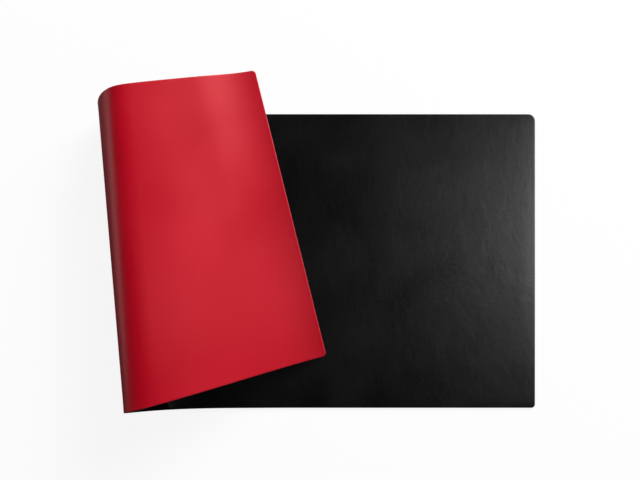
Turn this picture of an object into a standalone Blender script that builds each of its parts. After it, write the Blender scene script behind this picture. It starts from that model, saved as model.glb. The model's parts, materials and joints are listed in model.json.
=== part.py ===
"""Double-sided desk mat, lying black face up with its left-hand end curled over so that the red
face shows.

The mat is a laminate of three layers: black sheet, adhesive film, red sheet. Bend lines divide it
into a base panel, narrow strips and a flap, which turn about hinges in the plane of the black
face, the inside of the fold. With every hinge opened by its own angle the mat lies flat.

Flat layout, before folding: x runs from the right-hand end (0) to the left-hand end (-LENGTH),
y from the front edge (0) to the back edge (WIDTH), z from the underside (0) to the black face
(THICKNESS). Sizes are in millimetres; meshes and locations are scaled to metres.
"""

from math import cos, exp, log, log1p, pi, radians
from typing import NamedTuple

import bmesh
import bpy
from mathutils import Matrix, Vector

MM = 0.001

# ---- the mat ----
LENGTH = 900.0
WIDTH = 430.0
SHEET_T = 0.90  # each leather sheet
FILM_T = 0.10  # adhesive film between them
LAYER_GAP = 0.05  # clearance between layers
FILM_BOTTOM = SHEET_T + LAYER_GAP
THICKNESS = 2 * SHEET_T + FILM_T + 2 * LAYER_GAP
CORNER_R = 5.5
BACK_RIGHT_CORNER_R = 10.0
CORNER_STEPS = 6
PRESSED_EDGE = 0.35  # rounding of the outer edges of both faces
PRESSED_STEPS = 2

# ---- the fold ----
BENDS = 18  # bend lines
SPLIT = 0.05  # clearance between neighbouring strips
TOTAL_TURN = 200.74  # degrees from the base panel to the flap

# ---- helpers' sizes ----
HINGE_DISPLAY_SIZE = 0.02  # metres
SAME_PLACE = 1e-4  # tolerance for finding corners and faces
ON_CUT = 1e-3  # tolerance for an edge lying on a cut
CUT_SNAP = 1e-5  # tolerance of the cutting plane


class Crossings(NamedTuple):
    """Where the bend lines cross one long edge, as distances from the right-hand end."""

    middle: float  # base distance, to which the spreads and the step are added
    lift: float  # spread of the bend lines where the sheet lifts
    fall: float  # spread where the curl runs out into the flap
    step: float  # smooth shift of the later bend lines
    step_at: float  # progress at which half of the shift is done
    step_rate: float  # steepness of the shift


FRONT = Crossings(middle=623.2, lift=41.6, fall=15.6, step=-12.0, step_at=0.16, step_rate=2.0)
BACK = Crossings(middle=621.4, lift=1.15, fall=9.2, step=66.8, step_at=0.42, step_rate=2.95)


class Layer(NamedTuple):
    name: str
    material: bpy.types.Material
    bottom: float
    top: float
    pressed_z: float | None  # height of the face whose outer edges are rounded


# ---- bend lines ----

def softplus(x):
    return max(x, 0.0) + log1p(exp(-abs(x)))


def sigmoid(x):
    return 1.0 / (1.0 + exp(-x))


def crossing(edge, progress):
    """Distance from the right-hand end at which a bend line crosses an edge.

    Progress runs from minus infinity, where the sheet starts to lift, to plus infinity, where the
    flap is flat again, and is 0 where half of the turn is done.
    """
    return (
        edge.middle
        + edge.fall * softplus(progress)
        - edge.lift * softplus(-progress)
        + edge.step * sigmoid(edge.step_rate * (progress - edge.step_at))
    )


def turn_share(step):
    """Share of the turn done at this step of BENDS: slow at both ends, fast in the nose."""
    return 0.5 * (1.0 - cos(pi * step / BENDS))


class Bend:
    """One bend line: its middle and direction in the flat layout, and the angle turned there."""

    def __init__(self, index):
        done = turn_share(index + 0.5)
        progress = log(done / (1.0 - done))
        front = Vector((-crossing(FRONT, progress), 0.0, THICKNESS))
        back = Vector((-crossing(BACK, progress), WIDTH, THICKNESS))
        self.middle = (front + back) / 2
        self.axis = (back - front).normalized()
        # horizontal, square to the bend line, pointing right to the base panel
        self.away = self.axis.cross(Vector((0.0, 0.0, 1.0))).normalized()
        self.turn = radians(TOTAL_TURN) * (turn_share(index + 1) - turn_share(index))


# ---- materials and layers ----

def new_material(name, colour, roughness):
    material = bpy.data.materials.new(name)
    material.use_nodes = True
    shader = material.node_tree.nodes["Principled BSDF"]
    shader.inputs["Base Color"].default_value = (*colour, 1.0)
    shader.inputs["Roughness"].default_value = roughness
    material.diffuse_color = (*colour, 1.0)
    return material


def new_layers():
    """The three layers, from the black face down."""
    black = new_material("black_leather", colour=(0.018, 0.018, 0.020), roughness=0.45)
    film = new_material("adhesive_film", colour=(0.62, 0.52, 0.50), roughness=0.40)
    red = new_material("red_leather", colour=(0.52, 0.026, 0.036), roughness=0.42)
    return (
        Layer("black_sheet", black, THICKNESS - SHEET_T, THICKNESS, pressed_z=THICKNESS),
        Layer("adhesive_film", film, FILM_BOTTOM, FILM_BOTTOM + FILM_T, pressed_z=None),
        Layer("red_sheet", red, 0.0, SHEET_T, pressed_z=0.0),
    )


# ---- one layer of one body ----

def round_corner(bm, x, y, radius):
    """Rounds the corner of the flat face at (x, y)."""
    corner = [
        v for v in bm.verts if abs(v.co.x - x) < SAME_PLACE and abs(v.co.y - y) < SAME_PLACE
    ]
    bmesh.ops.bevel(
        bm,
        geom=corner,
        offset=radius,
        offset_type="OFFSET",
        segments=CORNER_STEPS,
        profile=0.5,
        affect="VERTICES",
    )


def add_outline(bm, bottom, right_bend, left_bend):
    """The whole mat as one flat face, with the corners of any end this body reaches rounded."""
    bmesh.ops.create_grid(bm, x_segments=1, y_segments=1, size=0.5)
    bmesh.ops.scale(bm, vec=(LENGTH, WIDTH, 1.0), verts=bm.verts)
    bmesh.ops.translate(bm, vec=(-LENGTH / 2, WIDTH / 2, bottom), verts=bm.verts)
    if right_bend is None:
        round_corner(bm, 0.0, WIDTH, BACK_RIGHT_CORNER_R)
        round_corner(bm, 0.0, 0.0, CORNER_R)
    if left_bend is None:
        round_corner(bm, -LENGTH, WIDTH, CORNER_R)
        round_corner(bm, -LENGTH, 0.0, CORNER_R)


def cuts_between(right_bend, left_bend):
    """Cutting planes at the body's bend lines, as (point, outward direction)."""
    cuts = []
    if right_bend is not None:
        cuts.append((right_bend.middle - right_bend.away * SPLIT / 2, right_bend.away))
    if left_bend is not None:
        cuts.append((left_bend.middle + left_bend.away * SPLIT / 2, -left_bend.away))
    return cuts


def trim(bm, point, outward):
    """Cuts the flat face along a line and drops what lies beyond it."""
    bmesh.ops.bisect_plane(
        bm,
        geom=bm.verts[:] + bm.edges[:] + bm.faces[:],
        dist=CUT_SNAP,
        plane_co=point,
        plane_no=outward,
        clear_outer=True,
    )


def thicken(bm, height):
    """Raises the flat face into a prism."""
    raised = bmesh.ops.extrude_face_region(bm, geom=bm.faces[:])
    upper = [v for v in raised["geom"] if isinstance(v, bmesh.types.BMVert)]
    bmesh.ops.translate(bm, vec=(0.0, 0.0, height), verts=upper)
    bmesh.ops.recalc_face_normals(bm, faces=bm.faces)


def on_cut(edge, cuts):
    return any(
        all(abs((v.co - point).dot(outward)) < ON_CUT for v in edge.verts)
        for point, outward in cuts
    )


def press_rim(bm, z, cuts):
    """Rounds the outer edges of the face at height z, leaving the cuts sharp."""
    rim = [
        e
        for e in bm.edges
        if all(abs(v.co.z - z) < SAME_PLACE for v in e.verts)
        and len(e.link_faces) == 2
        and not on_cut(e, cuts)
    ]
    bmesh.ops.bevel(
        bm,
        geom=rim,
        offset=PRESSED_EDGE,
        offset_type="OFFSET",
        segments=PRESSED_STEPS,
        profile=0.5,
        affect="EDGES",
    )


def layer_piece(layer, label, right_bend, left_bend, origin, hinge, collection):
    """One layer of the body between two bend lines, with its origin on the body's hinge."""
    bm = bmesh.new()
    add_outline(bm, layer.bottom, right_bend, left_bend)
    cuts = cuts_between(right_bend, left_bend)
    for point, outward in cuts:
        trim(bm, point, outward)
    thicken(bm, layer.top - layer.bottom)
    if layer.pressed_z is not None:
        press_rim(bm, layer.pressed_z, cuts)
    bmesh.ops.translate(bm, vec=-origin, verts=bm.verts)
    bmesh.ops.scale(bm, vec=(MM, MM, MM), verts=bm.verts)
    bmesh.ops.recalc_face_normals(bm, faces=bm.faces)

    name = f"{layer.name}_{label}"
    mesh = bpy.data.meshes.new(name)
    bm.to_mesh(mesh)
    bm.free()
    mesh.materials.append(layer.material)
    piece = bpy.data.objects.new(name, mesh)
    piece.parent = hinge
    collection.objects.link(piece)
    return piece


# ---- the folded mat ----

def new_empty(name, collection):
    empty = bpy.data.objects.new(name, None)
    empty.empty_display_size = HINGE_DISPLAY_SIZE
    collection.objects.link(empty)
    return empty


def main():
    for item in list(bpy.data.objects):
        bpy.data.objects.remove(item, do_unlink=True)

    collection = bpy.data.collections.new("desk_mat")
    bpy.context.scene.collection.children.link(collection)
    layers = new_layers()
    bends = [Bend(i) for i in range(BENDS)]

    root = new_empty("mat_frame", collection)
    hinge, origin = root, Vector((0.0, 0.0, 0.0))
    frame = Matrix.Identity(4)  # folded position of the current body, in millimetres
    folded_points = []

    def add_body(label, right_bend, left_bend):
        for layer in layers:
            piece = layer_piece(layer, label, right_bend, left_bend, origin, hinge, collection)
            folded_points.extend(frame @ (v.co / MM) for v in piece.data.vertices)

    add_body("base", None, bends[0])

    # each later body hangs from the one before, by an empty on its right-hand bend line
    for body, bend in enumerate(bends, start=1):
        turn = Matrix.Rotation(bend.turn, 4, bend.axis)
        offset = bend.middle - origin
        previous, hinge = hinge, new_empty(f"hinge_{body:02d}", collection)
        hinge.parent = previous
        hinge.rotation_mode = "QUATERNION"
        hinge.location = offset * MM
        hinge.rotation_quaternion = turn.to_quaternion()
        frame = frame @ (Matrix.Translation(offset) @ turn)
        origin = bend.middle
        if body < BENDS:
            add_body(f"strip_{body:02d}", bend, bends[body])
        else:
            add_body("flap", bend, None)

    # centre the folded mat on the origin in x and y, the base panel's underside on z = 0
    middle = [
        (min(p[axis] for p in folded_points) + max(p[axis] for p in folded_points)) / 2
        for axis in range(2)
    ]
    root.location = Vector((-middle[0], -middle[1], 0.0)) * MM


main()
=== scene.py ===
"""Double-sided desk mat: one continuous leather sheet, black above, red below, glued by a film.

The base lies flat with its black face up, front at -y and its free end at +x. Towards -x the
sheet curls over a row of hinges and ends in a flap.
"""

import json
from math import cos, pi, radians, sin, tan

import bpy
import numpy as np
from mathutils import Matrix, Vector

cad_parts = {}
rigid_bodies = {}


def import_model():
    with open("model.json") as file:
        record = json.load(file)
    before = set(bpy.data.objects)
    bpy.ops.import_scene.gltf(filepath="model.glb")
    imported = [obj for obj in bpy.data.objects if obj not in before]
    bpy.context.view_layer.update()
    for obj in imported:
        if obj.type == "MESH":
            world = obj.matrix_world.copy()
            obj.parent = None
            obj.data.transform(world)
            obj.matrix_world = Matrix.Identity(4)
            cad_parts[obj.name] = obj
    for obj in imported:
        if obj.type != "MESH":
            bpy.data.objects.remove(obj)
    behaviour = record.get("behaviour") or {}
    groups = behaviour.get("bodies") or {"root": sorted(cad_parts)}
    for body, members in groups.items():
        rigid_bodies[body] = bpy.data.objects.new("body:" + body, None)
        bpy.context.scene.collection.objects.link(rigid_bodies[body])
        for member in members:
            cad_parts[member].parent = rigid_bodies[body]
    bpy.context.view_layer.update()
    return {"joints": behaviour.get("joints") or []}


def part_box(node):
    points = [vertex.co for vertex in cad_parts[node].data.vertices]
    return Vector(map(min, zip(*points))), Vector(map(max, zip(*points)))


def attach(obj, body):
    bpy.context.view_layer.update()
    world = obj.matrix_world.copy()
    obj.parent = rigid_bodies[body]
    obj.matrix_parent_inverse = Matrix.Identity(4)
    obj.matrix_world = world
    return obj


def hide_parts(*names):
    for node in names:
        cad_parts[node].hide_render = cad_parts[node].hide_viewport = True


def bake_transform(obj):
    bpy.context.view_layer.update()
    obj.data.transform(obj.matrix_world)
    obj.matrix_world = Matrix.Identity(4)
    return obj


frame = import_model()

MM = 0.001

# ---------------------------------------------------------------- sizes of the sheet
base_low, base_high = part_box("black_sheet_base")
RIGHT, FRONT, BACK = base_high.x, base_low.y, base_high.y
FACE = base_high.z  # the black face, where the hinge lines lie
DEPTH = BACK - FRONT
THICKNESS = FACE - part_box("red_sheet_base")[0].z
LENGTH = 900.0 * MM
LEFT = RIGHT - LENGTH
CORNER_RADIUS = 5.5 * MM
BACK_RIGHT_RADIUS = 10.0 * MM

# depths below the black face of the surfaces between the layers
BLACK_UNDER = 0.94 * MM
FILM_TOP, FILM_UNDER = 0.96 * MM, 1.04 * MM
RED_TOP = 1.06 * MM

# the outer edges are pressed thinner over a narrow band
PRESS_BAND = 2.0 * MM
PRESS_DEPTH = 0.55 * MM

# grid of the sheet: distances from an edge of its close lines, then even steps
EDGE_STEPS = np.array([0.0, 0.12, 0.35, 0.7, 1.2, 2.0, 3.2, 4.3, 5.5, 7.7, 10.0]) * MM
EDGE_MARGIN = EDGE_STEPS[-1]
ROW_STEP = 6.0 * MM
BASE_COLUMNS, BEND_COLUMNS, FLAP_COLUMNS = 78, 8, 22

# ---------------------------------------------------------------- hinges
# Hinges are numbered from 1, so entry 0 of these lists only fills a place.
joints = sorted(frame["joints"], key=lambda joint: joint["name"])
HINGES = len(joints)
BODY = [joints[0]["parent"]] + [joint["child"] for joint in joints]
PIVOT = [None] + [np.array(joint["pos_m"], float) for joint in joints]
AXIS = [None] + [
    np.array(joint["axis"], float) / np.linalg.norm(joint["axis"]) for joint in joints
]
TURN = [0.0] + [radians(joint["range_deg"][1]) for joint in joints]
UP = np.array([0.0, 0.0, 1.0])


def opening_matrix(hinge):
    """The turn that opens a hinge fully."""
    x, y, z = AXIS[hinge]
    skew = np.array([[0, -z, y], [z, 0, -x], [-y, x, 0]])
    rotation = np.eye(3) + sin(TURN[hinge]) * skew + (1 - cos(TURN[hinge])) * skew @ skew
    matrix = np.eye(4)
    matrix[:3, :3] = rotation
    matrix[:3, 3] = PIVOT[hinge] - rotation @ PIVOT[hinge]
    return matrix


# TO_FLAT[k] lays body k flat, and TO_REST[k] takes a flat point to its place at rest
TO_FLAT = [np.eye(4)]
for hinge in range(1, HINGES + 1):
    TO_FLAT.append(TO_FLAT[-1] @ opening_matrix(hinge))
TO_REST = [np.linalg.inv(matrix) for matrix in TO_FLAT]


def moved(matrix, points):
    return points @ matrix[:3, :3].T + matrix[:3, 3]


def turned(points, hinge, angle):
    """Points turned about a hinge, each by its own angle."""
    axis, arm = AXIS[hinge], points - PIVOT[hinge]
    cosine, sine = np.cos(angle)[..., None], np.sin(angle)[..., None]
    along = axis * (arm @ axis)[..., None] * (1 - cosine)
    return PIVOT[hinge] + arm * cosine + np.cross(axis, arm) * sine + along


def eased(t):
    return t * t * (3 - 2 * t)


def flat_axis(hinge):
    """Direction of a hinge in the flat layout."""
    return TO_FLAT[hinge - 1][:3, :3] @ AXIS[hinge]


def hinge_x(hinge, y):
    """Where a hinge crosses the rows y of the flat layout."""
    at, along = moved(TO_FLAT[hinge - 1], PIVOT[hinge]), flat_axis(hinge)
    return at[0] + along[0] * (y - at[1]) / along[1]


def spacing(hinge, y):
    return hinge_x(hinge, y) - hinge_x(hinge + 1, y)


def neighbour_gaps(hinge):
    """Numbers of the one or two gaps between hinges that touch this hinge."""
    return [gap for gap in (hinge - 1, hinge) if 1 <= gap < HINGES]


FIRST_REACH = 70 * MM
REACH_IN_HALF_SPACINGS = 2.73  # makes the slope run on evenly from hinge to hinge


def blend_reach(hinge):
    """Half length of the stretch over which a hinge's turn is spread."""
    near = [max(spacing(gap, FRONT), spacing(gap, BACK)) for gap in neighbour_gaps(hinge)]
    return REACH_IN_HALF_SPACINGS / 2 * sum(near) / len(near)


REACH = [0.0, FIRST_REACH] + [blend_reach(hinge) for hinge in range(2, HINGES + 1)]


def blend_ends(hinge):
    """Start and end of a hinge's blend, running towards the flap."""
    way = sum(np.cross(AXIS[hinge], TO_REST[body][:3, :3] @ UP) for body in (hinge - 1, hinge))
    if (TO_FLAT[hinge - 1][:3, :3] @ way)[0] > 0:
        way = -way
    way = way / np.linalg.norm(way)
    return PIVOT[hinge] - way * REACH[hinge], PIVOT[hinge] + way * REACH[hinge]


ENDS = [None] + [blend_ends(hinge) for hinge in range(1, HINGES + 1)]


def folded(hinge, flat):
    """Rest places of flat points bent by a hinge.

    The weight depends on the place it leads to, so the two are found by repeated passes.
    """
    unbent = moved(TO_REST[hinge - 1], flat)
    start, end = ENDS[hinge]
    span = end - start
    weight = np.full(unbent.shape[:-1], 0.5)
    for _ in range(12):
        bent = turned(unbent, hinge, -weight * TURN[hinge])
        weight = eased(np.clip((bent - start) @ span / (span @ span), 0, 1))
    return turned(unbent, hinge, -weight * TURN[hinge])


def on_face(x, y):
    return np.stack([x, y, np.full(np.shape(x), FACE)], -1)


# ---------------------------------------------------------------- rows and columns of the sheet
inner_rows = np.linspace(
    EDGE_MARGIN, DEPTH - EDGE_MARGIN, int(round((DEPTH - 2 * EDGE_MARGIN) / ROW_STEP)) + 1
)
row_y = FRONT + np.concatenate([EDGE_STEPS[:-1], inner_rows, DEPTH - EDGE_STEPS[-2::-1]])
ROWS = len(row_y)


def shared_border(hinge):
    """Flat x, row by row, of the line on which this hinge's bend and the next give one height."""
    low, high = hinge_x(hinge + 1, row_y), hinge_x(hinge, row_y)
    middle, span = (low + high) / 2, high - low
    normal = TO_REST[hinge][:3, :3] @ UP

    def height_gap(x):
        flat = on_face(x, row_y)
        # the tiny slope settles rows where both agree everywhere
        tie_break = 1e-7 * (x - middle) / span
        return (folded(hinge, flat) - folded(hinge + 1, flat)) @ normal + tie_break

    sign = np.sign(height_gap(high - 1e-9))
    for _ in range(26):
        centre = (low + high) / 2
        same = np.sign(height_gap(centre)) == sign
        high, low = np.where(same, centre, high), np.where(same, low, centre)
    return (low + high) / 2


def blend_limit(hinge, side):
    """The line, parallel to a hinge, at which its blend starts (side 1) or ends (side -1)."""
    clearance = 1.002
    return hinge_x(hinge, row_y) + side * REACH[hinge] * clearance / abs(flat_axis(hinge)[1])


borders = [blend_limit(1, 1)]
borders += [shared_border(hinge) for hinge in range(1, HINGES)]
borders += [blend_limit(HINGES, -1)]


def columns_between(start, end, count):
    return [start + (end - start) * i / count for i in range(1, count + 1)]


# flat x of every column, from the right-hand end to the left; piece k lies from cuts[k] to
# cuts[k + 1], where piece 0 is the base, 1 to HINGES the bends and the last one the flap
right_band = RIGHT - EDGE_STEPS
left_band = LEFT + EDGE_STEPS[:-2][::-1]
columns = [np.full(ROWS, x) for x in right_band]
columns += columns_between(right_band[-1], borders[0], BASE_COLUMNS)
cuts = [0, len(columns) - 1]
for hinge in range(1, HINGES + 1):
    columns += columns_between(borders[hinge - 1], borders[hinge], BEND_COLUMNS)
    cuts.append(len(columns) - 1)
columns += columns_between(borders[HINGES], left_band[0], FLAP_COLUMNS)
columns += [np.full(ROWS, x) for x in left_band[1:]]
cuts.append(len(columns) - 1)
LAST_COLUMN = cuts[-1]


def rounded_outline(x, y):
    """Maps each corner square of the grid onto a quarter disc; also gives distances to the edge."""
    edge = np.minimum(np.minimum(y - FRONT, BACK - y), np.minimum(RIGHT - x, x - LEFT))
    # corner x, corner y, outward sign along x, outward sign along y, radius
    for corner_x, corner_y, side_x, side_y, radius in (
        (RIGHT, FRONT, 1, -1, CORNER_RADIUS),
        (RIGHT, BACK, 1, 1, BACK_RIGHT_RADIUS),
        (LEFT, FRONT, -1, -1, CORNER_RADIUS),
        (LEFT, BACK, -1, 1, CORNER_RADIUS),
    ):
        inset_x, inset_y = (corner_x - x) * side_x, (corner_y - y) * side_y
        inside = (inset_x < radius - 1e-9) & (inset_y < radius - 1e-9)
        square_x, square_y = 1 - inset_x / radius, 1 - inset_y / radius
        disc_x = square_x * np.sqrt(np.maximum(0, 1 - square_y * square_y / 2))
        disc_y = square_y * np.sqrt(np.maximum(0, 1 - square_x * square_x / 2))
        x = np.where(inside, corner_x - side_x * radius * (1 - disc_x), x)
        y = np.where(inside, corner_y - side_y * radius * (1 - disc_y), y)
        edge = np.where(inside, radius * (1 - np.hypot(disc_x, disc_y)), edge)
    return x, y, np.maximum(edge, 0)


flat_x, flat_y, edge_distance = rounded_outline(
    np.stack(columns, 1), np.repeat(row_y[:, None], len(columns), 1)
)
# coordinates on the sheet itself, from its right-hand end and from its front edge
sheet_u, sheet_v = RIGHT - flat_x, flat_y - FRONT


# ---------------------------------------------------------------- the black face at rest
def rest_surface():
    """The flat grid bent stretch by stretch, with the small gaps between stretches shared out."""
    points = on_face(flat_x, flat_y)
    spans = [slice(cuts[k], cuts[k + 1] + 1) for k in range(HINGES + 1)]
    bends = [None]
    for k in range(1, HINGES + 1):
        bends.append(folded(k, on_face(flat_x[:, spans[k]], flat_y[:, spans[k]])))
    t = np.linspace(0, 1, BEND_COLUMNS + 1)[None, :, None]
    for k in range(1, HINGES + 1):
        bend = bends[k]
        first = (bends[k - 1][:, -1] - bend[:, 0]) / 2 if k > 1 else 0 * bend[:, 0]
        last = (bends[k + 1][:, 0] - bend[:, -1]) / 2 if k < HINGES else 0 * bend[:, 0]
        points[:, spans[k]] = bend + first[:, None] * (1 - eased(t)) + last[:, None] * eased(t)
    flap = slice(cuts[HINGES + 1] + 1, None)
    points[:, flap] = moved(TO_REST[HINGES], on_face(flat_x[:, flap], flat_y[:, flap]))
    return points


def smoothed_along_rows(points):
    """Evens out the curvature along each row with a kernel set by the local hinge spacing."""
    kernel_share, widest_spacing, fade_length = 0.36, 24 * MM, 12 * MM
    span = slice(cuts[1] - 12, cuts[HINGES + 1] + 9)
    from_left = range(HINGES, -1, -1)
    result = points.copy()
    for row in range(ROWS):
        x = flat_x[row, span]
        nodes = [borders[k][row] for k in from_left]
        widths = [spacing(min(max(k, 1), HINGES - 1), row_y[row]) for k in from_left]
        sigma = kernel_share * np.minimum(np.interp(x, nodes, widths), widest_spacing)
        offset = x[None, :] - x[:, None]
        share = np.abs(np.gradient(x))
        weight = np.exp(-0.5 * (offset / sigma[:, None]) ** 2) * share[None, :]
        # the moments correct the kernel so that it leaves straight stretches unchanged
        total, first = weight.sum(1), (weight * offset).sum(1)
        second = (weight * offset * offset).sum(1)
        tilt = second[:, None] - first[:, None] * offset
        weight = weight * tilt / (total * second - first * first)[:, None]
        fade = np.clip(np.minimum(x[0] - x, x - x[-1]) / fade_length, 0, 1)[:, None]
        before = points[row, span]
        once = weight @ before
        twice = weight @ once
        result[row, span] = before + fade * (2 * once - twice - before)
    return result


def unit(vectors):
    return vectors / np.maximum(np.linalg.norm(vectors, axis=-1, keepdims=True), 1e-20)


def grid_normals(points):
    """Smooth normals of a grid of points, on the black face's side."""
    falling = points[1:, 1:] - points[:-1, :-1]
    rising = points[1:, :-1] - points[:-1, 1:]
    face = np.cross(rising, falling)
    normals = np.zeros_like(points)
    for row_side in (slice(0, -1), slice(1, None)):
        for column_side in (slice(0, -1), slice(1, None)):
            normals[row_side, column_side] += face
    return unit(normals)


def raised(points, height):
    return points + grid_normals(points) * height[..., None]


def flap_sag():
    """The flap hangs between the curl and its end, less at the back; its last stretch is flatter."""
    sag_front, sag_back = 0.25, 0.06
    end_band, end_front, end_back = 90 * MM, 0.09, 0.19
    curl_end = (hinge_x(HINGES - 1, flat_y) + hinge_x(HINGES, flat_y)) / 2
    sag_length = LENGTH - (RIGHT - curl_end)
    to_end = np.clip((LENGTH - sheet_u) / sag_length, 0, 1)
    in_band = np.clip((LENGTH - sheet_u) / end_band, 0, 1)
    to_back = eased(np.clip((sheet_v / DEPTH - 0.4) / 0.6, 0, 1))
    main = sag_front + (sag_back - sag_front) * to_back
    end = end_front + (end_back - end_front) * to_back
    sag = main * sag_length * to_end * (1 - to_end) ** 2
    return sag + end * end_band * in_band * (1 - in_band) ** 2


def relief():
    """Slow unevenness of the laid-out leather, never below zero."""
    # length along u, length along v, phase
    waves = (
        (0.046, 0.031, 0.3), (-0.031, 0.057, 1.7), (0.083, -0.022, 2.9), (0.019, 0.091, 4.1),
        (-0.064, -0.043, 5.2), (0.024, 0.026, 0.9), (0.037, -0.035, 3.6),
    )
    frequency = 0.55  # scales all the waves together
    sway, sway_length = 0.9, 0.21  # slow shift of each wave's phase along v
    wave_height, edge_rise, crown_height = 0.055 * MM, 0.22 * MM, 0.26 * MM
    edge_band, crown_band, crown_fade = 18 * MM, 22 * MM, 170 * MM
    ripple = 0.0
    for length_u, length_v, phase in waves:
        cycles = sheet_u / length_u * frequency + sheet_v / length_v * frequency
        shift = sway * np.sin(2 * pi * sheet_v / sway_length + phase * 2)
        ripple = ripple + np.sin(2 * pi * cycles + phase + shift)
    near_edge = np.clip(1 - edge_distance / edge_band, 0, 1)
    near_right = np.clip(1 - sheet_u / crown_band, 0, 1)
    past_crown = eased(np.clip((sheet_u - crown_band) / crown_fade, 0, 1))
    crown = crown_height * (1 - near_right**2) * (1 - past_crown)
    uneven = (0.5 + 0.5 * ripple / len(waves)) * wave_height * (1 - near_edge)
    return uneven + edge_rise * (1 - near_edge**2) + crown * (1 - near_edge**2)


surface = smoothed_along_rows(rest_surface())
surface = raised(surface, flap_sag())
surface = raised(surface, relief())
surface_normals = grid_normals(surface)

press = np.clip(1 - edge_distance / PRESS_BAND, 0, 1)
press_drop = (PRESS_DEPTH * (1 - np.sqrt(np.maximum(0, 1 - press**2))))[..., None]


# ---------------------------------------------------------------- materials
def cleared_tree(owner):
    """Turns on the nodes of a material or world and empties its tree."""
    owner.use_nodes = True
    owner.node_tree.nodes.clear()
    return owner.node_tree


def add_node(tree, kind, inputs, **settings):
    """A node whose inputs, by name or number, are given as values or as sockets to link."""
    node = tree.nodes.new(kind)
    for name, value in settings.items():
        setattr(node, name, value)
    for key, value in inputs.items():
        if isinstance(value, bpy.types.NodeSocket):
            tree.links.new(value, node.inputs[key])
        else:
            node.inputs[key].default_value = value
    return node


def math(tree, operation, first, second):
    return add_node(tree, "ShaderNodeMath", {0: first, 1: second}, operation=operation).outputs[0]


def weighted_sum(tree, first, first_weight, second, second_weight):
    return math(
        tree,
        "ADD",
        math(tree, "MULTIPLY", first, first_weight),
        math(tree, "MULTIPLY", second, second_weight),
    )


def noise(tree, vector, scale, detail=2.0, roughness=0.5, distortion=0.0, offset=(0, 0, 0)):
    shift = add_node(tree, "ShaderNodeVectorMath", {0: vector, 1: offset}, operation="ADD")
    inputs = {
        "Scale": scale,
        "Detail": detail,
        "Roughness": roughness,
        "Distortion": distortion,
        "Vector": shift.outputs[0],
    }
    return add_node(tree, "ShaderNodeTexNoise", inputs).outputs["Fac"]


def ranged(tree, value, source, target):
    """Maps the source range smoothly onto the target range."""
    inputs = {
        "From Min": source[0],
        "From Max": source[1],
        "To Min": target[0],
        "To Max": target[1],
        "Value": value,
    }
    node = add_node(tree, "ShaderNodeMapRange", inputs, interpolation_type="SMOOTHSTEP")
    return node.outputs["Result"]


def colour_mix(tree, factor, first, second):
    inputs = {"Factor": factor, "A": first, "B": second}
    return add_node(tree, "ShaderNodeMix", inputs, data_type="RGBA").outputs["Result"]


def bump(tree, height, distance):
    inputs = {"Distance": distance, "Height": height}
    return add_node(tree, "ShaderNodeBump", inputs).outputs["Normal"]


def sheet_uv(tree):
    return add_node(tree, "ShaderNodeUVMap", {}, uv_map="sheet").outputs["UV"]


def principled(tree, inputs):
    shader = add_node(tree, "ShaderNodeBsdfPrincipled", inputs)
    add_node(tree, "ShaderNodeOutputMaterial", {"Surface": shader.outputs[0]})


def leather_grain(tree, place):
    """Rounded pebbles, 0 in the fine valleys that part them and 1 on top."""
    wobble = add_node(
        tree, "ShaderNodeTexNoise", {"Scale": 420.0, "Detail": 2.0, "Vector": place}
    )
    warp = add_node(
        tree,
        "ShaderNodeVectorMath",
        {0: wobble.outputs["Color"], 1: (0.0011, 0.0011, 0.0011), 2: place},
        operation="MULTIPLY_ADD",
    )
    cells = add_node(
        tree,
        "ShaderNodeTexVoronoi",
        {"Scale": 950.0, "Vector": warp.outputs[0]},
        feature="DISTANCE_TO_EDGE",
    )
    return ranged(tree, cells.outputs["Distance"], source=(0.0, 0.22), target=(0.0, 1.0))


def leather_height(tree, place, pebble, wrinkle, seed):
    """Height in millimetres: pebbles and pores, with creases and a slower sway."""
    pores = noise(tree, place, scale=2600.0, offset=(seed, seed, 0.0))
    stretch = add_node(
        tree, "ShaderNodeVectorMath", {0: place, 1: (1.0, 0.55, 1.0)}, operation="MULTIPLY"
    ).outputs[0]
    creases = noise(
        tree, stretch, scale=85.0, detail=4.0, roughness=0.60, distortion=0.9,
        offset=(0.0, seed, 0.0),
    )
    sway = noise(tree, stretch, scale=26.0, distortion=0.4, offset=(seed, 0.0, 0.0))
    grain = weighted_sum(tree, pebble, 0.020, pores, 0.010)
    folds = weighted_sum(tree, creases, 0.22 * wrinkle, sway, 0.30 * wrinkle)
    return math(tree, "ADD", grain, folds)


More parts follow.
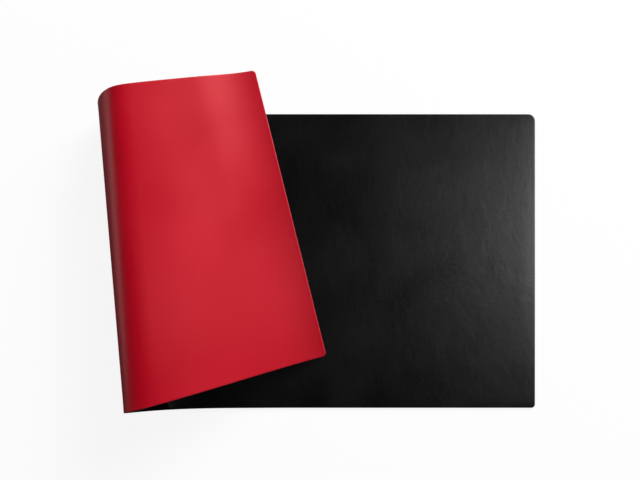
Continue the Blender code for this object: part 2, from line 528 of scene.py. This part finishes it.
def leather(name, dark, light, worn, roughness, ior, tint, wrinkle, seed):
    """Pebbled polyurethane leather with slow colour and gloss variation and a worn rim."""
    material = bpy.data.materials.new(name)
    tree = cleared_tree(material)
    place = sheet_uv(tree)

    slow = noise(
        tree, place, scale=9.0, detail=3.0, roughness=0.55, distortion=0.3,
        offset=(seed, 0.3, 0.0),
    )
    fine = noise(tree, place, scale=160.0, detail=4.0, roughness=0.6, offset=(0.7, seed, 0.0))
    blend = weighted_sum(tree, slow, 0.62, fine, 0.38)
    tone = ranged(tree, blend, source=(0.30, 0.70), target=(0.0, 1.0))
    colour = colour_mix(tree, tone, (*dark, 1.0), (*light, 1.0))

    # the pressed rim is a little worn and lighter
    edge = add_node(tree, "ShaderNodeAttribute", {}, attribute_name="edge").outputs["Fac"]
    patchy = ranged(tree, fine, source=(0.35, 0.65), target=(0.55, 1.0))
    rub = math(tree, "MULTIPLY", edge, patchy)

    pebble = leather_grain(tree, place)
    height = leather_height(tree, place, pebble, wrinkle, seed)

    # the slow noise sways the roughness, and the valleys between pebbles are rougher
    sway, valley_roughness = 0.035, 0.06
    swayed = ranged(
        tree, slow, source=(0.25, 0.75), target=(roughness - sway, roughness + sway)
    )
    valleys = math(tree, "MULTIPLY", math(tree, "SUBTRACT", 1.0, pebble), valley_roughness)
    inputs = {
        "Base Color": colour_mix(tree, rub, colour, (*worn, 1.0)),
        "Normal": bump(tree, height, distance=1 * MM),
        "Roughness": math(tree, "ADD", swayed, valleys),
        "IOR": ior,
        "Specular Tint": (*tint, 1.0),
    }
    principled(tree, inputs)
    return material


def adhesive_film(name):
    """Pale pink speckled glue."""
    material = bpy.data.materials.new(name)
    tree = cleared_tree(material)
    speck = noise(tree, sheet_uv(tree), scale=300.0, detail=4.0, roughness=0.6)
    inputs = {
        "Base Color": colour_mix(tree, speck, (0.50, 0.38, 0.36, 1.0), (0.70, 0.60, 0.58, 1.0)),
        "Roughness": ranged(tree, speck, source=(0.3, 0.7), target=(0.32, 0.5)),
        "Normal": bump(tree, speck, distance=0.00005),
    }
    principled(tree, inputs)
    return material


black_leather = leather(
    "black_pu_leather",
    dark=(0.0010, 0.0010, 0.0013),
    light=(0.0028, 0.0028, 0.0032),
    worn=(0.010, 0.009, 0.010),
    roughness=0.31,
    ior=1.42,
    tint=(1.0, 1.0, 1.0),
    wrinkle=1.0,
    seed=3.1,
)
red_leather = leather(
    "red_pu_leather",
    dark=(0.575, 0.0015, 0.014),
    light=(0.625, 0.0035, 0.020),
    worn=(0.60, 0.045, 0.055),
    roughness=0.34,
    ior=1.95,
    tint=(1.0, 0.265, 0.275),
    wrinkle=0.35,
    seed=7.7,
)
glue = adhesive_film("adhesive_film_edge")


# ---------------------------------------------------------------- pieces
def grid_quads(width):
    """Quads of a grid of vertices; columns run left and rows back, so this order faces up."""
    row, column = np.meshgrid(np.arange(ROWS - 1), np.arange(width - 1), indexing="ij")
    corner = (row * width + column).ravel()
    return np.stack([corner, corner + width, corner + width + 1, corner + 1], 1)


def outline_ring(width):
    """Row and column of each vertex round the outline of a grid."""
    return np.array(
        [(0, i) for i in range(width)]
        + [(j, width - 1) for j in range(1, ROWS)]
        + [(ROWS - 1, i) for i in range(width - 2, -1, -1)]
        + [(j, 0) for j in range(ROWS - 2, 0, -1)]
    )


def wall_normals(corners, is_cut):
    """Corner normals of the walls: smooth along the sheet's outline, flat at the cut ends."""
    out = unit(np.cross(corners[:, 2] - corners[:, 0], corners[:, 3] - corners[:, 1]))
    first, last = (
        unit(np.where((is_cut | np.roll(is_cut, step))[:, None], out, out + np.roll(out, step, 0)))
        for step in (1, -1)
    )
    return np.stack([first, last, last, first], 1)


def sheet_piece(name, sides, material, first, last):
    """One layer between two grid columns, a closed solid whose normals match its neighbours'."""
    top, under, top_normals, under_normals = (
        grid[:, first : last + 1].reshape(-1, 3) for grid in sides
    )
    vertices = np.concatenate([top, under])
    width, count = last - first + 1, len(top)
    upper = grid_quads(width)
    lower = upper[:, [0, 3, 2, 1]]

    ring = outline_ring(width)
    following = np.roll(ring, -1, axis=0)
    start = ring[:, 0] * width + ring[:, 1]
    end = following[:, 0] * width + following[:, 1]
    wall = np.stack([start, end, end + count, start + count], 1)
    at_first = (ring[:, 1] == 0) & (first != 0)
    at_last = (ring[:, 1] == width - 1) & (last != LAST_COLUMN)
    is_cut = (ring[:, 1] == following[:, 1]) & (at_first | at_last)

    quads = np.concatenate([upper, lower + count, wall])
    normals = np.concatenate(
        [top_normals[upper], -under_normals[lower], wall_normals(vertices[wall], is_cut)]
    )
    uv = np.stack([sheet_u[:, first : last + 1].ravel(), sheet_v[:, first : last + 1].ravel()], 1)
    wall_uv = uv[np.stack([start, end, end, start], 1)]
    wall_uv[:, 2:] += 0.9 * MM  # keeps the texture from standing still down the walls

    mesh = bpy.data.meshes.new(name)
    mesh.vertices.add(len(vertices))
    mesh.vertices.foreach_set("co", vertices.astype(np.float32).ravel())
    mesh.loops.add(quads.size)
    mesh.loops.foreach_set("vertex_index", quads.astype(np.int32).ravel())
    mesh.polygons.add(len(quads))
    mesh.polygons.foreach_set("loop_start", np.arange(0, quads.size, 4, dtype=np.int32))
    mesh.update(calc_edges=True)
    mesh.validate()
    uv_values = np.concatenate([uv[upper], uv[lower], wall_uv]).astype(np.float32).ravel()
    mesh.uv_layers.new(name="sheet").data.foreach_set("uv", uv_values)
    # 1 on the sheet's outline, fading to 0 over the worn rim
    rim_width, rim_falloff = 1.3 * MM, 1.5
    rim_distance = edge_distance[:, first : last + 1].ravel()
    near = np.clip(1 - rim_distance / rim_width, 0, 1) ** rim_falloff
    edge = mesh.attributes.new("edge", "FLOAT", "POINT")
    edge.data.foreach_set("value", np.concatenate([near, near]).astype(np.float32))
    mesh.polygons.foreach_set("use_smooth", np.ones(len(quads), bool))
    mesh.normals_split_custom_set(normals.reshape(-1, 3).tolist())
    mesh.materials.append(material)
    return linked_object(name, mesh)


def linked_object(name, data):
    item = bpy.data.objects.new(name, data)
    bpy.context.scene.collection.objects.link(item)
    return item


pieces = []  # layer, piece number (0 is the base, HINGES + 1 the flap), object


def build_layer(layer, cad, label, material, slot, top_depth, under_depth):
    top = surface - surface_normals * top_depth
    under = surface - surface_normals * under_depth
    sides = (top, under, grid_normals(top), grid_normals(under))
    for k in range(HINGES + 2):
        is_bend = 1 <= k <= HINGES
        part = f"bend_{k:02d}" if is_bend else "flap_panel" if k else "base_panel"
        piece = sheet_piece(f"{label}_{part}", sides, material, cuts[k], cuts[k + 1])
        pieces.append((layer, k, piece))
        if is_bend:
            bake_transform(piece)
            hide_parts(*[f"{cad}_strip_{i:02d}" for i in neighbour_gaps(k)])
        else:
            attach(piece, BODY[HINGES] if k else BODY[0])
            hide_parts(f"{cad}_flap" if k else f"{cad}_base")


# layer, CAD name, label, material, slot, depths of its upper and under surface
for layer_row in (
    ("black", "black_sheet", "black_leather", black_leather, "black_leather",
     press_drop, BLACK_UNDER),
    ("film", "adhesive_film", "glue_film", glue, "adhesive_film",
     FILM_TOP, FILM_UNDER),
    ("red", "red_sheet", "red_leather", red_leather, "red_leather",
     RED_TOP, THICKNESS - press_drop),
):
    build_layer(*layer_row)


# ---------------------------------------------------------------- floor and world
def camera_switch(tree, unseen, seen):
    """Shows one shader to the camera and another to all other rays."""
    to_camera = add_node(tree, "ShaderNodeLightPath", {}).outputs["Is Camera Ray"]
    inputs = {0: to_camera, 1: unseen.outputs[0], 2: seen.outputs[0]}
    return add_node(tree, "ShaderNodeMixShader", inputs).outputs[0]


def floor_material():
    """Glows evenly to the camera, but only reflects light onto the mat."""
    material = bpy.data.materials.new("pale_floor")
    tree = cleared_tree(material)
    diffuse = add_node(tree, "ShaderNodeBsdfDiffuse", {"Color": (0.16, 0.16, 0.16, 1.0)})
    dim = add_node(tree, "ShaderNodeBsdfDiffuse", {"Color": (0.22, 0.21, 0.21, 1.0)})
    glow = add_node(tree, "ShaderNodeEmission", {"Strength": 0.90})
    both = add_node(tree, "ShaderNodeAddShader", {0: diffuse.outputs[0], 1: glow.outputs[0]})
    shown = camera_switch(tree, unseen=dim, seen=both)
    add_node(tree, "ShaderNodeOutputMaterial", {"Surface": shown})
    return material


def build_floor():
    half, z = 6.0, -0.0004
    corners = [(-half, -half, z), (half, -half, z), (half, half, z), (-half, half, z)]
    mesh = bpy.data.meshes.new("floor")
    mesh.from_pydata(corners, [], [(0, 1, 2, 3)])
    linked_object("floor", mesh)
    mesh.materials.append(floor_material())


def build_world():
    """The room is lighter near the horizon than overhead, and plain to the camera."""
    horizon, overhead = 0.20, 0.01
    world = bpy.data.worlds.new("soft_studio")
    bpy.context.scene.world = world
    tree = cleared_tree(world)
    direction = add_node(tree, "ShaderNodeTexCoord", {}).outputs["Generated"]
    height = add_node(tree, "ShaderNodeSeparateXYZ", {0: direction}).outputs["Z"]
    strength = ranged(tree, height, source=(0.12, 0.72), target=(horizon, overhead))
    sky = add_node(tree, "ShaderNodeBackground", {"Strength": strength})
    plain = add_node(tree, "ShaderNodeBackground", {"Strength": 0.97})
    shown = camera_switch(tree, unseen=sky, seen=plain)
    add_node(tree, "ShaderNodeOutputWorld", {"Surface": shown})


build_floor()
build_world()


# ---------------------------------------------------------------- lights
def softbox(name, at, target, size, irradiance, distance):
    """A rectangular lamp that gives this irradiance at this distance."""
    data = bpy.data.lights.new(name, "AREA")
    data.shape = "RECTANGLE"
    data.size, data.size_y = size
    data.energy = irradiance * pi * distance**2
    lamp = linked_object(name, data)
    lamp.location = at
    lamp.rotation_euler = (Vector(target) - Vector(at)).to_track_quat("-Z", "Y").to_euler()
    lamp.visible_camera = False
    return lamp


def around(azimuth, elevation, distance):
    turn, rise = radians(azimuth), radians(elevation)
    return (
        distance * cos(rise) * cos(turn),
        distance * cos(rise) * sin(turn),
        distance * sin(rise),
    )


def from_above(right, back, distance):
    """A place seen from the mat this many degrees right of and behind the vertical."""
    direction = Vector((tan(radians(right)), tan(radians(back)), 1.0)).normalized()
    return tuple(direction * distance)


def only_on(lamp, layers, first, last):
    """Keeps a softbox off everything but these layers between two piece numbers."""
    receivers = bpy.data.collections.new(lamp.name + "_receivers")
    for layer, k, piece in pieces:
        if layer in layers and first <= k <= last:
            receivers.objects.link(piece)
    lamp.light_linking.receiver_collection = receivers


KEY_DISTANCE, FILL_DISTANCE, BLACK_SHEEN_DISTANCE, RED_SHEEN_HEIGHT = 5.0, 2.0, 3.9, 0.80

softbox(
    "key_softbox",
    at=around(azimuth=51, elevation=23, distance=KEY_DISTANCE),
    target=(0, 0, 0),
    size=(3.6, 2.0),
    irradiance=4.35,
    distance=KEY_DISTANCE,
)
softbox(
    "left_fill",
    at=around(azimuth=173, elevation=9, distance=FILL_DISTANCE),
    target=(0, 0, 0.03),
    size=(1.4, 0.8),
    irradiance=0.27,
    distance=FILL_DISTANCE,
)
# the black face's sheen fades out over the first bend pieces, where the flap shades it:
# first piece, last piece, share of the light
for first, last, part_lit in ((0, 1, 1.0), (2, 2, 0.75), (3, 3, 0.5), (4, 4, 0.25)):
    panel = softbox(
        f"black_sheen_softbox_{last}",
        at=from_above(right=38.7, back=7.5, distance=BLACK_SHEEN_DISTANCE),
        target=(0, 0, 0),
        size=(0.6, 2.3),
        irradiance=1.56 * part_lit,
        distance=BLACK_SHEEN_DISTANCE,
    )
    only_on(panel, ("black",), first, last)
# name, lamp x and y, target y, size, irradiance
for name, x, y, target_y, size, irradiance in (
    ("red_sheen_softbox", 0.115, 0.0, 0.0, (0.18, 0.7), 0.28),
    ("red_sheen_softbox_back", 0.15, 0.55, 0.165, (0.16, 0.6), 0.11),
):
    panel = softbox(
        name,
        at=(x, y, RED_SHEEN_HEIGHT),
        target=(-0.18, target_y, 0.05),
        size=size,
        irradiance=irradiance,
        distance=RED_SHEEN_HEIGHT,
    )
    only_on(panel, ("red", "film"), 0, HINGES + 1)


# ---------------------------------------------------------------- camera
def build_camera():
    """Looks straight down, with its frame shifted off the optical axis."""
    data = bpy.data.cameras.new("camera")
    data.sensor_width = 36.0
    data.lens = 32.37075
    data.shift_x, data.shift_y = -0.08646875, 0.05953125
    data.clip_start, data.clip_end = 0.01, 50.0
    camera = linked_object("camera", data)
    camera.location = (0.08031, -0.05640, 0.8440)
    camera.rotation_euler = (0.0, 0.0, 0.0)
    bpy.context.scene.camera = camera
    bpy.context.scene.view_settings.view_transform = "Standard"


build_camera()
